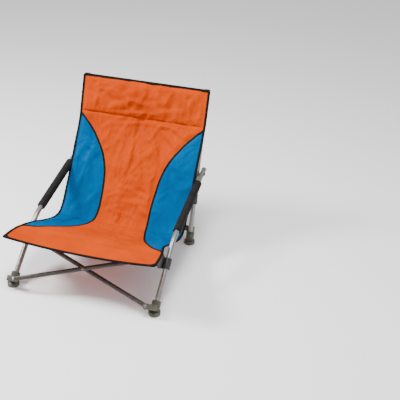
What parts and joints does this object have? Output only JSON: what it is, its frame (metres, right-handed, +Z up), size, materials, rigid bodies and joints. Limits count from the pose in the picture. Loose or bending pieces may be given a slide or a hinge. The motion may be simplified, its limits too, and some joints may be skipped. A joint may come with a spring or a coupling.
{
  "type": "folding camp chair",
  "caption": "Low folding camp chair with a fabric sling seat and back, foam arm grips, and crossed braces at front and back that fold it flat sideways.",
  "frame": {"origin": "on the floor under the middle of the open chair's overall box", "axes": "+X to the sitter's left-hand side as seen from the front (right in a front view), +Y from the front hem to the backrest, +Z up"},
  "size_m": [0.54, 0.6718, 0.5625],
  "materials": {
    "grey_steel": "satin powder coat",
    "rivet_steel": "plated",
    "grey_plastic": "moulded, fine grain",
    "black_foam": "matte foam",
    "orange_fabric": "woven polyester",
    "blue_fabric": "woven polyester",
    "black_binding": "woven tape"
  },
  "bodies": {
    "left_frame": {"leg_arm_tube_left": "grey_steel", "upright_tube_left": "grey_steel", "arm_grip_left": "black_foam", "arm_bolt_left": "rivet_steel", "arm_end_plug_left": "grey_plastic", "upright_plug_left": "grey_plastic", "front_foot_left": "grey_plastic", "rear_foot_left": "grey_plastic", "seat_bracket_left": "grey_plastic", "rear_bracket_left": "grey_plastic", "front_foot_rivet_left": "rivet_steel", "rear_foot_rivet_left": "rivet_steel", "back_sleeve_left": "orange_fabric", "back_sling": "orange_fabric"},
    "right_frame": {"leg_arm_tube_right": "grey_steel", "upright_tube_right": "grey_steel", "arm_grip_right": "black_foam", "arm_bolt_right": "rivet_steel", "arm_end_plug_right": "grey_plastic", "upright_plug_right": "grey_plastic", "front_foot_right": "grey_plastic", "rear_foot_right": "grey_plastic", "seat_bracket_right": "grey_plastic", "rear_bracket_right": "grey_plastic", "front_foot_rivet_right": "rivet_steel", "rear_foot_rivet_right": "rivet_steel", "back_sleeve_right": "orange_fabric"},
    "seat": {"seat_sling": "orange_fabric"},
    "front_brace_left": {"front_brace_left": "grey_steel", "front_brace_cap_left": "grey_plastic", "front_cross_rivet_left": "rivet_steel"},
    "front_brace_right": {"front_brace_right": "grey_steel", "front_brace_cap_right": "grey_plastic", "front_cross_rivet_right": "rivet_steel"},
    "rear_brace_left": {"rear_brace_left": "grey_steel", "rear_brace_cap_left": "grey_plastic", "rear_cross_rivet_left": "rivet_steel"},
    "rear_brace_right": {"rear_brace_right": "grey_steel", "rear_brace_cap_right": "grey_plastic", "rear_cross_rivet_right": "rivet_steel"}
  },
  "joints": [
    {"name": "width_fold", "type": "slide", "parent": "left_frame", "child": "right_frame", "axis": [-1, 0, 0], "range_m": [0, 0.34], "deforming": ["back_sling", "seat_sling"]},
    {"name": "front_brace_left_turn", "type": "hinge", "parent": "left_frame", "child": "front_brace_left", "pos_m": [-0.228, -0.3159, 0.041], "axis": [0, -0.7847, 0.6199], "range_deg": [0, 57.3]},
    {"name": "front_brace_right_turn", "type": "hinge", "parent": "right_frame", "child": "front_brace_right", "pos_m": [0.228, -0.3159, 0.041], "axis": [0, 0.7847, -0.6199], "range_deg": [0, 57.3]},
    {"name": "rear_brace_left_turn", "type": "hinge", "parent": "left_frame", "child": "rear_brace_left", "pos_m": [-0.209, 0.2131, 0.041], "axis": [0, -0.9562, 0.2926], "range_deg": [0, 60.3]},
    {"name": "rear_brace_right_turn", "type": "hinge", "parent": "right_frame", "child": "rear_brace_right", "pos_m": [0.209, 0.2131, 0.041], "axis": [0, 0.9562, -0.2926], "range_deg": [0, 60.3]},
    {"name": "seat_lift", "type": "hinge", "parent": "left_frame", "child": "seat", "pos_m": [0, 0.0381, 0.103], "axis": [-1, 0, 0], "range_deg": [0, 75.2]}
  ],
  "couplings": [
    {"joint": "front_brace_left_turn", "follows": "width_fold", "rad_per_m": 2.9356},
    {"joint": "front_brace_right_turn", "follows": "width_fold", "rad_per_m": 2.9356},
    {"joint": "rear_brace_left_turn", "follows": "width_fold", "rad_per_m": 3.0874},
    {"joint": "rear_brace_right_turn", "follows": "width_fold", "rad_per_m": 3.0874},
    {"joint": "seat_lift", "follows": "width_fold", "rad_per_m": 3.85}
  ]
}
